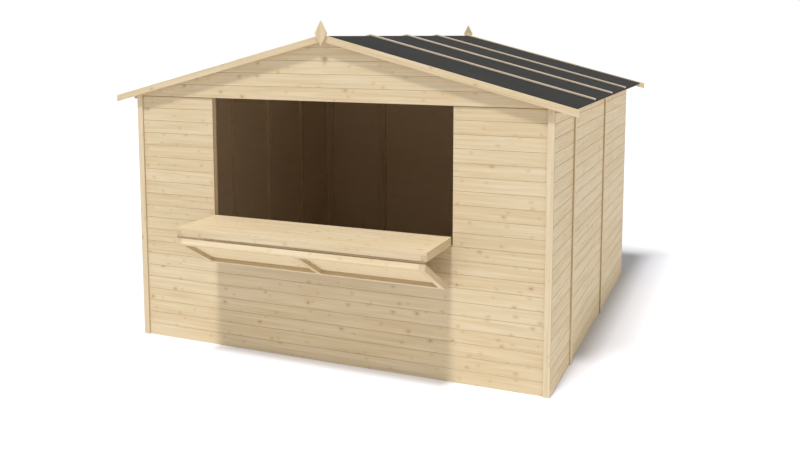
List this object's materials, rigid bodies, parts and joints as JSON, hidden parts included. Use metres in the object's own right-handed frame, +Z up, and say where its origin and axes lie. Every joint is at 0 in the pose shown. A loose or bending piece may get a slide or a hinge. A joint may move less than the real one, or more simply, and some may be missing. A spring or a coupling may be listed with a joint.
{
  "type": "wooden market stall",
  "caption": "Boarded timber market stall with an apex felt roof and a wide serving opening, whose folding shutter opens into a counter.",
  "frame": {"origin": "centre of the bounding box at floor level, with the hatch open as pictured", "axes": "+Z up, -Y out of the serving front, +X to the right seen from the front's own back"},
  "size_m": [3.396, 3.5404, 2.3337],
  "materials": {
    "spruce_boards": "planed, untreated",
    "framing_timber": "sawn, untreated",
    "roofing_felt": "matt mineral grit",
    "hinge_steel": "brown lacquered"
  },
  "bodies": {
    "stall": {"front_lower_boards": "spruce_boards", "front_left_boards": "spruce_boards", "front_right_boards": "spruce_boards", "front_gable": "spruce_boards", "front_studs": "framing_timber", "front_rails": "framing_timber", "front_corner_boards": "spruce_boards", "back_left_boards": "spruce_boards", "back_middle_boards": "spruce_boards", "back_right_boards": "spruce_boards", "back_gable": "spruce_boards", "back_studs": "framing_timber", "back_rails": "framing_timber", "back_corner_boards": "spruce_boards", "left_front_boards": "spruce_boards", "left_middle_boards": "spruce_boards", "left_rear_boards": "spruce_boards", "right_front_boards": "spruce_boards", "right_middle_boards": "spruce_boards", "right_rear_boards": "spruce_boards", "side_studs": "framing_timber", "side_rails": "framing_timber", "cover_strips": "spruce_boards", "wall_plates": "framing_timber", "eaves_battens": "framing_timber", "purlins": "framing_timber", "left_roof_boards": "spruce_boards", "right_roof_boards": "spruce_boards", "left_felt": "roofing_felt", "right_felt": "roofing_felt", "eaves_felt_strips": "roofing_felt", "left_felt_battens": "spruce_boards", "right_felt_battens": "spruce_boards", "front_left_bargeboard": "spruce_boards", "front_right_bargeboard": "spruce_boards", "back_left_bargeboard": "spruce_boards", "back_right_bargeboard": "spruce_boards", "finials": "spruce_boards", "sill_hinge_leaves": "hinge_steel"},
    "counter_leaf": {"counter_top": "spruce_boards", "counter_stiles": "framing_timber", "counter_rails": "framing_timber", "counter_soffit": "spruce_boards", "counter_hinge_leaves": "hinge_steel"},
    "flap_leaf": {"flap_boards": "spruce_boards", "flap_stiles": "framing_timber", "flap_rails": "framing_timber", "flap_hinge_leaves": "hinge_steel"}
  },
  "joints": [
    {"name": "counter_hinge", "type": "hinge", "parent": "stall", "child": "counter_leaf", "pos_m": [0, -1.3028, 0.9], "axis": [-1, 0, 0], "range_deg": [0, 90]},
    {"name": "flap_hinge", "type": "hinge", "parent": "counter_leaf", "child": "flap_leaf", "pos_m": [0, -1.7498, 0.9], "axis": [-1, 0, 0], "range_deg": [-20, 150]}
  ]
}
